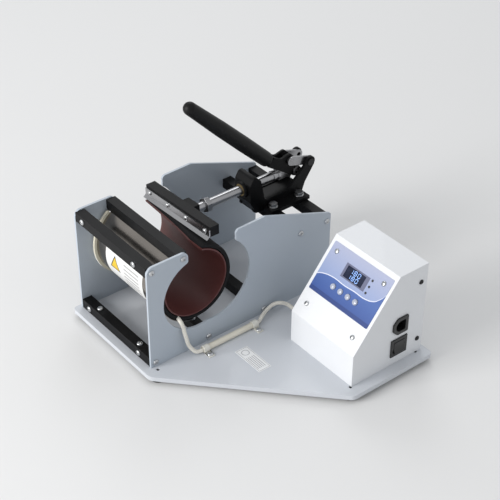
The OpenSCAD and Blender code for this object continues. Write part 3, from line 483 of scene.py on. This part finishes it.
# %% Rounded edges
MERGE, MERGE_CUT = 1e-6, 2e-7
FLAT_WITHIN, SHARP_FROM = 0.6 * DEG, 28 * DEG
BEVEL_SEGMENTS = 2


def settle(obj):
    """Turns an object's modifiers into plain geometry."""
    seen = obj.evaluated_get(bpy.context.evaluated_depsgraph_get())
    mesh = bpy.data.meshes.new_from_object(seen)
    obj.modifiers.clear()
    obj.data = mesh


def softened(node, width):
    """A copy of a CAD piece with small rounded edges stands in for it."""
    source = nodes[node]
    mesh = source.data.copy()
    bm = bmesh.new()
    bm.from_mesh(mesh)
    bmesh.ops.remove_doubles(bm, verts=bm.verts, dist=MERGE)
    bmesh.ops.dissolve_limit(bm, angle_limit=FLAT_WITHIN, verts=bm.verts, edges=bm.edges)
    bm.to_mesh(mesh)
    bm.free()
    obj = bpy.data.objects.new("soft_" + node, mesh)
    scene.collection.objects.link(obj)
    bevel = obj.modifiers.new("edge", "BEVEL")
    bevel.width, bevel.segments = width * MM, BEVEL_SEGMENTS
    bevel.limit_method, bevel.angle_limit = "ANGLE", SHARP_FROM
    bevel.use_clamp_overlap = True
    settle(obj)
    bm = bmesh.new()
    bm.from_mesh(obj.data)
    bmesh.ops.remove_doubles(bm, verts=bm.verts, dist=MERGE_CUT)
    bmesh.ops.triangulate(bm, faces=bm.faces)
    bm.to_mesh(obj.data)
    bm.free()
    obj.data.shade_smooth()
    obj.data.set_sharp_from_angle(angle=SHARP_FROM)
    flat = obj.modifiers.new("flat", "WEIGHTED_NORMAL")
    flat.keep_sharp, flat.weight = True, 100
    settle(obj)
    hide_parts(node)
    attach(obj, source["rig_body"])


EDGES = {"base_plate": 0.8, "left_side_plate": 0.35, "right_side_plate": 0.35,
         "front_top_bar": 0.5, "inner_top_bar": 0.5, "front_bottom_bar": 0.5,
         "middle_bottom_bar": 0.5, "rear_bottom_bar": 0.5, "clamp_bar_front": 0.5,
         "clamp_bar_rear": 0.5, "pusher_bar": 0.5, "box_cover": 0.9, "clamp_body": 0.9,
         "rod_end_block": 0.6, "handle_lever": 0.5, "toggle_links": 0.4,
         "switch_housing": 0.3, "power_inlet": 0.25, "rod_lock_nut": 0.5, "clamp_bolts": 0.4,
         "switch_rocker": 0.4, "lead_clips": 0.25}
for name, width in EDGES.items():
    softened(name, width)
print("rounded the edges of", len(EDGES), "pieces")

# %% [markdown]
# ## Screws
# Every screw of one kind is the same screw. One model is lathed and gets its cross recess;
# a small Geometry Nodes tree then sets a copy on every point of a cloud. The points come
# from the ready-made screws: where the head sits, which way it faces and how wide it is.

# %% The screw model
SCREW_SIDES = 32
HEAD = ((0.0, 0.60), (0.30, 0.59), (0.62, 0.54), (0.85, 0.42), (0.96, 0.26), (1.0, 0.12),
        (0.98, 0.02), (0.94, 0.0))
THREAD_R, THREAD_PITCH, THREAD_DEPTH, GROOVES = 0.5, 0.17, 0.05, 9
RECESS_ARMS = ((0.11, 0.5), (0.5, 0.11))
RECESS_LEVELS = ((0.26, 0.35), (0.75, 1.0))


def lathe(profile, sides):
    """A closed solid of (radius, height) points; the first and the last are on the axis."""
    verts, faces = [(0, 0, profile[0][1])], []
    for r, z in profile[1:-1]:
        verts += [(r * math.cos(2 * math.pi * k / sides),
                   r * math.sin(2 * math.pi * k / sides), z) for k in range(sides)]
    verts.append((0, 0, profile[-1][1]))
    rings, last = len(profile) - 2, len(verts) - 1
    for k in range(sides):
        n = (k + 1) % sides
        faces.append((0, 1 + n, 1 + k))
        for ring in range(rings - 1):
            a, b = 1 + ring * sides, 1 + (ring + 1) * sides
            faces.append((a + k, a + n, b + n, b + k))
        faces.append((last, 1 + (rings - 1) * sides + k, 1 + (rings - 1) * sides + n))
    return verts, faces


def screw_model():
    grooves = [(THREAD_R - THREAD_DEPTH * (i % 2), -0.01 - i * THREAD_PITCH / 2)
               for i in range(GROOVES)]
    profile = list(HEAD) + grooves + [(0.0, grooves[-1][1] - 0.02)]
    model = plain_mesh("screw_model", *lathe(profile, SCREW_SIDES))
    verts, faces = [], []
    for across, along in RECESS_ARMS:
        start = len(verts)
        for z, k in RECESS_LEVELS:
            a, b = across * (k if across > along else 1), along * (k if along > across else 1)
            verts += [(-a, -b, z), (a, -b, z), (a, b, z), (-a, b, z)]
        faces += [tuple(start + v for v in f) for f in (
            (0, 3, 2, 1), (4, 5, 6, 7), (0, 1, 5, 4),
            (1, 2, 6, 5), (2, 3, 7, 6), (3, 0, 4, 7))]
    cutter = plain_mesh("cross", verts, faces)
    cut = model.modifiers.new("recess", "BOOLEAN")
    cut.operation, cut.solver, cut.object = "DIFFERENCE", "EXACT", cutter
    cut.use_self = True
    settle(model)
    bpy.data.objects.remove(cutter)
    model.data.shade_smooth()
    model.data.set_sharp_from_angle(angle=40 * DEG)
    return model


screw = screw_model()
screw.hide_render = True
print("one screw:", len(screw.data.polygons), "faces")

# %% Where the screws are
RIM_SHARE, RIM_PASSES = 0.97, 2


def screw_places(node):
    """(seat, direction, head radius) of every screw in a node, in metres."""
    mesh = nodes[node].data
    bm = bmesh.new()
    bm.from_mesh(mesh)
    bmesh.ops.remove_doubles(bm, verts=bm.verts, dist=MERGE)
    left, places = set(bm.verts), []
    while left:
        start = min(left, key=lambda v: v.index)
        island, edge = {start}, [start]
        while edge:
            for link in edge.pop().link_edges:
                for v in link.verts:
                    if v not in island:
                        island.add(v)
                        edge.append(v)
        left -= island
        points = np.array([v.co for v in sorted(island, key=lambda v: v.index)])
        middle = (points.max(0) + points.min(0)) / 2
        radii = []
        for axis in np.linalg.svd(points - points.mean(0))[2]:
            along = (points - middle) @ axis
            away = np.linalg.norm(points - middle - np.outer(along, axis), axis=1)
            radii.append((away.max(), axis))
        axis = min(radii, key=lambda pair: pair[0])[1]
        centre = points.mean(0)
        for _ in range(RIM_PASSES):
            along = (points - centre) @ axis
            away = points - centre - np.outer(along, axis)
            rim = np.linalg.norm(away, axis=1)
            outer = rim > rim.max() * RIM_SHARE
            centre = centre + away[outer].mean(0)
        if along[outer].mean() < (along.max() + along.min()) / 2:
            axis, along = -axis, -along
        seat = centre + axis * along[outer].min()
        places.append((seat, axis, rim.max()))
    bm.free()
    return places


def screw_tree():
    tree = bpy.data.node_groups.new("set_screws", "GeometryNodeTree")
    face = tree.interface
    face.new_socket("Geometry", in_out="INPUT", socket_type="NodeSocketGeometry")
    face.new_socket("Screw", in_out="INPUT", socket_type="NodeSocketObject")
    face.new_socket("Size", in_out="INPUT", socket_type="NodeSocketFloat")
    face.new_socket("Seed", in_out="INPUT", socket_type="NodeSocketInt")
    face.new_socket("Finish", in_out="INPUT", socket_type="NodeSocketMaterial")
    face.new_socket("Geometry", in_out="OUTPUT", socket_type="NodeSocketGeometry")
    new, link = tree.nodes.new, tree.links.new
    given, result = new("NodeGroupInput"), new("NodeGroupOutput")
    direction = new("GeometryNodeInputNamedAttribute")
    direction.data_type = "FLOAT_VECTOR"
    direction.inputs["Name"].default_value = "direction"
    radius = new("GeometryNodeInputNamedAttribute")
    radius.data_type = "FLOAT"
    radius.inputs["Name"].default_value = "radius"
    turn = new("FunctionNodeRandomValue")
    turn.data_type = "FLOAT"
    turn.inputs[2].default_value, turn.inputs[3].default_value = 0.0, math.pi / 2
    link(given.outputs["Seed"], turn.inputs["Seed"])
    spin = new("ShaderNodeCombineXYZ")
    link(turn.outputs[1], spin.inputs["Z"])
    facing = new("FunctionNodeAlignRotationToVector")
    facing.axis = "Z"
    link(direction.outputs["Attribute"], facing.inputs["Vector"])
    turned = new("FunctionNodeRotateRotation")
    turned.rotation_space = "LOCAL"
    link(facing.outputs[0], turned.inputs[0])
    link(spin.outputs[0], turned.inputs[1])
    scale = new("ShaderNodeMath")
    scale.operation = "MULTIPLY"
    link(radius.outputs["Attribute"], scale.inputs[0])
    link(given.outputs["Size"], scale.inputs[1])
    info = new("GeometryNodeObjectInfo")
    link(given.outputs["Screw"], info.inputs["Object"])
    setter = new("GeometryNodeInstanceOnPoints")
    link(given.outputs["Geometry"], setter.inputs["Points"])
    link(info.outputs["Geometry"], setter.inputs["Instance"])
    link(turned.outputs[0], setter.inputs["Rotation"])
    link(scale.outputs[0], setter.inputs["Scale"])
    real = new("GeometryNodeRealizeInstances")
    link(setter.outputs[0], real.inputs[0])
    paint = new("GeometryNodeSetMaterial")
    link(given.outputs["Finish"], paint.inputs["Material"])
    link(real.outputs[0], paint.inputs[0])
    link(paint.outputs[0], result.inputs[0])
    return tree


tree = screw_tree()
print("a screw set of", len(tree.nodes), "nodes")

# %% Set the screws
SCREW_SCALE, SCREW_SEED = 1.0, 7
SCREW_NODES = ("frame_screws", "bar_base_screws", "foot_screws", "shell_screws",
               "clip_screws", "box_screws", "panel_screws", "strip_screws")
socket = {item.name: item.identifier for item in tree.interface.items_tree
          if item.in_out == "INPUT"}
for name in SCREW_NODES:
    places = screw_places(name)
    cloud = plain_mesh("set_" + name, [p[0] for p in places], [])
    direction = cloud.data.attributes.new("direction", "FLOAT_VECTOR", "POINT")
    direction.data.foreach_set("vector", np.array([p[1] for p in places]).ravel())
    radius = cloud.data.attributes.new("radius", "FLOAT", "POINT")
    radius.data.foreach_set("value", np.array([p[2] for p in places]))
    setter = cloud.modifiers.new("set", "NODES")
    setter.node_group = tree
    setter[socket["Screw"]] = screw
    setter[socket["Size"]] = SCREW_SCALE
    setter[socket["Seed"]] = SCREW_SEED
    setter[socket["Finish"]] = materials[slots[name]]
    settle(cloud)
    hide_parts(name)
    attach(cloud, nodes[name]["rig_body"])
    print(name, len(places), "screws, head radius mm", round(places[0][2] / MM, 2))
bpy.data.objects.remove(screw)

# %% [markdown]
# ## The mat
# The heated mat is a silicone layer on a foam backing, curled round the mug. Its front half
# is held by the shell. Its rear half hangs on the pusher's strip as a piece of its own.
# The pusher hangs a little lower at its left end and the mat's rear edge follows it.

# %% Mat
MAT_W, LOOP_R, SILICONE_R, FOAM_R = 0.132, 0.0435, 0.046, 0.052
STRIP_TILT = math.tan(2.75 * DEG)
STRIP_HIGH, STRIP_GAP, ROUNDED_OFF = 0.0492, 0.0005, 0.18
STRIP_FOOT = STRIP_HIGH - STRIP_GAP
MAT_ACROSS, MAT_AROUND = 48, 72
FRONT_END = {"silicone": 111.6, "foam": 125.8}


def rear_end(x):
    """Angle at which the mat ends under the pusher's strip, in degrees from +Y."""
    height = STRIP_FOOT + STRIP_TILT * (x - PRESS_X)
    return math.degrees(math.asin(min(height / FOAM_R, 0.975)))


def mat_layer(name, r0, r1, start, end, material):
    """A curled layer; start and end give the angles of its two edges at a place along X."""
    verts, faces = [], []
    across, around, inset = MAT_ACROSS, MAT_AROUND, (r1 - r0) * ROUNDED_OFF
    for i in range(across + 1):
        x = PRESS_X - MAT_W / 2 + MAT_W * i / across
        a0, a1 = start(x), end(x)
        edge = inset if i in (0, across) else 0
        for j in range(around + 1):
            a = (a0 + (a1 - a0) * j / around) * DEG
            for r in (r0 + edge, r1 - edge):
                verts.append((x, MAT_Y + r * math.cos(a), MAT_Z + r * math.sin(a)))
    step = 2 * (around + 1)
    for i in range(across):
        for j in range(around):
            a = i * step + 2 * j
            faces.append((a, a + 2, a + step + 2, a + step))
            faces.append((a + 1, a + step + 1, a + step + 3, a + 3))
        for j in (0, around):
            a = i * step + 2 * j
            faces.append((a, a + 1, a + step + 1, a + step))
    for i in (0, across):
        for j in range(around):
            a = i * step + 2 * j
            faces.append((a, a + 1, a + 3, a + 2))
    return plain_mesh(name, verts, faces, materials[material], smooth=True)


BOTTOM = 270
for name, r0, r1 in (("silicone", LOOP_R, SILICONE_R), ("foam", SILICONE_R, FOAM_R)):
    front = mat_layer(name + "_front", r0, r1, lambda x: FRONT_END[name], lambda x: BOTTOM,
                      name)
    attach(front, "frame")
    rear = mat_layer(name + "_rear", r0, r1, lambda x: BOTTOM, lambda x: 360 + rear_end(x),
                     name)
    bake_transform(rear)
    for part in (front, rear):
        part.data.set_sharp_from_angle(angle=50 * DEG)
        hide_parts("mat_" + name)
print("mat ends at", [round(rear_end(x)) for x in (-0.157, PRESS_X, -0.025)], "degrees")

# %% [markdown]
# ## The heater lead
# The lead comes out of the mat, drops past the side plate, runs through a sleeve on the
# base plate and ends in the control box. It is swept along the same points as the CAD tube,
# with a UV map that counts the braid's pitches along it and its turns round it.

# %% Lead
RIGHT_OUT, EXIT_Y, EXIT_Z, SLEEVE_Y, BASE_Z = -15, -98.4, 57.88, -86.5, 12
OUT_OF_MAT = ((-13, 0, 0), (-9, 0, 0), (-3.5, -0.6, -1.5), (1.5, -1.2, -5), (5, -1.6, -12))
OVER_BASE = ((6.5, -12, 25), (7, -10, 16), (9, -7, 9.5), (12.4, -3, 4.9), (14, 3, 4),
             (14, 10, 4), (14, 33, 4), (14, 53, 4), (14, 73, 4), (14, 90, 4), (12.8, 95, 4.8),
             (9, 102.5, 6), (5.8, 111, 7.5), (5.6, 122, 11.5), (10.5, 130, 13.5))
TO_BOX = ((-46, 32.5, 10), (-37, 36.5, 6.5), (-26, 43, 5.5), (-13, 49, 8.5),
          (-4, 51.3, 11.6), (6, 51.7, 12))
route = [(RIGHT_OUT + x, EXIT_Y + y, EXIT_Z + z) for x, y, z in OUT_OF_MAT]
route += [(RIGHT_OUT + x, SLEEVE_Y + y, BASE_Z + z) for x, y, z in OVER_BASE]
route += [(BOX_X / MM + x, BOX_Y / MM + y, BASE_Z + z) for x, y, z in TO_BOX]
LEAD_R, RINGS, SIDES = 0.0025, 420, 20
BRAID_PITCH, BRAID_TURNS = 0.0016, 1.0


def along(points, t):
    """A smooth curve through every point."""
    i = min(int(t), len(points) - 2)
    f = t - i
    a, b, c, d = (points[min(max(k, 0), len(points) - 1)] for k in range(i - 1, i + 3))
    return 0.5 * (2 * b + (c - a) * f + (2 * a - 5 * b + 4 * c - d) * f ** 2
                  + (3 * b - a - 3 * c + d) * f ** 3)


points = np.array(route) * MM
centres = np.array([along(points, (len(points) - 1) * i / (RINGS - 1))
                    for i in range(RINGS)])
tangents = np.gradient(centres, axis=0)
tangents /= np.linalg.norm(tangents, axis=1)[:, None]
lengths = np.concatenate([[0], np.cumsum(np.linalg.norm(np.diff(centres, axis=0), axis=1))])
side = np.cross(tangents[0], (0, 0, 1.0))
verts, faces = [], []
for centre, tangent in zip(centres, tangents):
    side = side - tangent * (side @ tangent)
    side /= np.linalg.norm(side)
    other = np.cross(tangent, side)
    for k in range(SIDES):
        a = 2 * math.pi * k / SIDES
        verts.append(centre + LEAD_R * (side * math.cos(a) + other * math.sin(a)))
for i in range(RINGS - 1):
    for k in range(SIDES):
        n = (k + 1) % SIDES
        faces.append((i * SIDES + k, i * SIDES + n,
                      (i + 1) * SIDES + n, (i + 1) * SIDES + k))
faces.append(tuple(range(SIDES)))
faces.append(tuple((RINGS - 1) * SIDES + k for k in reversed(range(SIDES))))
lead = plain_mesh("lead_braid", verts, faces, materials["lead_cream"], smooth=True)
uv = lead.data.uv_layers.new(name="UVMap")
for face in lead.data.polygons:
    corners = [(v // SIDES, v % SIDES) for v in face.vertices]
    wraps = max(k for _, k in corners) - min(k for _, k in corners) > 1 and len(corners) == 4
    for loop, (ring, k) in zip(face.loop_indices, corners):
        turn = (SIDES if wraps and k == 0 else k) / SIDES
        uv.data[loop].uv = (lengths[ring] / BRAID_PITCH, turn * BRAID_TURNS)
lead.data.set_sharp_from_angle(angle=60 * DEG)
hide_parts("heater_lead")
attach(lead, "frame")
print("lead", round(lengths[-1] / MM), "mm long")

# %% [markdown]
# ## Display digits
# The display shows two rows of seven-segment digits. Each lit segment is a thin bar with
# pointed ends that stands just proud of the window.

# %% Display
UP_SLOPE = Vector((0, math.cos(SLOPE), math.sin(SLOPE)))
OUT = Vector((0, -math.sin(SLOPE), math.cos(SLOPE)))
CORNER = Vector((BOX_X, BOX_Y, SLOPE_Z))
SEGMENTS = {"0": "abcdef", "1": "bc", "8": "abcdefg"}
SHOWN, DIGIT_LEFT, DIGIT_STEP, DIGIT_WIDE = "180", 45.8, 6.2, 3.6
ROWS = ((78.3, 5.2), (71.6, 4.8))
STROKE, BAR_LOW, BAR_HIGH = 0.2, 0.19, 0.26
GLOW = 0.6


def lit_finish():
    f = Finish("lit_segments")
    drift = f.noise(f.place(), 700, 2.0)
    tone = f.mix(f.remap(drift, 0.0, 1.0), (0.22, 0.40, 0.95), (0.35, 0.58, 1.0))
    f.plug(tone, f.shader.inputs["Emission Color"])
    f.shader.inputs["Emission Strength"].default_value = GLOW
    return f.done(tone, f.remap(drift, 0.3, 0.4))


def on_slope(u, v, w):
    return CORNER + Vector((u * MM, 0, 0)) + UP_SLOPE * v * MM + OUT * w * MM


def digit(text, u, v, wide, high):
    """Corner points of the lit bars of one digit."""
    t = wide * STROKE
    mid = high / 2
    ends = {"a": ((0, high), (wide, high)), "g": ((0, mid), (wide, mid)),
            "d": ((0, 0), (wide, 0)), "f": ((0, mid), (0, high)),
            "b": ((wide, mid), (wide, high)), "e": ((0, 0), (0, mid)),
            "c": ((wide, 0), (wide, mid))}
    bars = []
    for name in SEGMENTS[text]:
        (x0, y0), (x1, y1) = ends[name]
        a, b = Vector((u + x0, v + y0)), Vector((u + x1, v + y1))
        d = (b - a).normalized()
        n = Vector((-d.y, d.x)) * t / 2
        a, b = a + d * t * 0.25, b - d * t * 0.25
        bars.append([a, a + d * t / 2 - n, b - d * t / 2 - n, b, b - d * t / 2 + n,
                     a + d * t / 2 + n])
    return bars


bars = []
for foot, high in ROWS:
    for i, text in enumerate(SHOWN):
        bars += digit(text, DIGIT_LEFT + i * DIGIT_STEP, foot, DIGIT_WIDE, high)
verts, faces = [], []
for bar in bars:
    start, n = len(verts), len(bar)
    verts += [on_slope(p.x, p.y, w) for w in (BAR_LOW, BAR_HIGH) for p in bar]
    faces += [tuple(start + k for k in range(n)), tuple(start + n + k for k in range(n))]
    faces += [(start + k, start + (k + 1) % n, start + n + (k + 1) % n, start + n + k)
              for k in range(n)]
digits = plain_mesh("display_digits", verts, faces, lit_finish())
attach(digits, "frame")
print(len(bars), "lit bars")

# %% [markdown]
# ## Floor and lights
# The floor is one pale sheet. The key light is faintly warm and stands in front, a little
# to the left, and the rim light is cooler and stands behind on the left. The right side of
# the box, which faces away from both, falls into soft shade.

# %% Floor and lights
FLOOR_HALF, FLOOR_Z = 6, -0.0002
SKY_COLOUR, SKY_STRENGTH = (0.97, 0.985, 1, 1), 0.70
AIM = (0, 0, 0.1)
LIGHTS = (("key", (-0.5, -2.5, 1.1), 1.3, 62, (1, 0.99, 0.975)),
          ("rim", (-1.6, 1.2, 2.0), 1.0, 10, (0.98, 0.99, 1)))


def floor_finish():
    f = Finish("floor", specular=0.2)
    drift = f.noise(f.place(), 0.6, 3.0)
    grain = f.noise(f.place(), 500, 2.0)
    tone = f.mix(f.remap(drift, 0.0, 1.0), (0.735, 0.735, 0.735), (0.75, 0.75, 0.75))
    return f.done(tone, 0.7, grain, 0.03)


floor = plain_mesh("floor", [(x * FLOOR_HALF, y * FLOOR_HALF, FLOOR_Z)
                             for x, y in ((-1, -1), (1, -1), (1, 1), (-1, 1))],
                   [(0, 1, 2, 3)], floor_finish())
world = bpy.data.worlds.new("studio")
scene.world = world
world.use_nodes = True
sky = world.node_tree.nodes["Background"]
sky.inputs["Color"].default_value = SKY_COLOUR
sky.inputs["Strength"].default_value = SKY_STRENGTH
for name, at, size, power, colour in LIGHTS:
    area_light(name, at, AIM, size, power, colour)
print(len(LIGHTS), "lights and a floor")
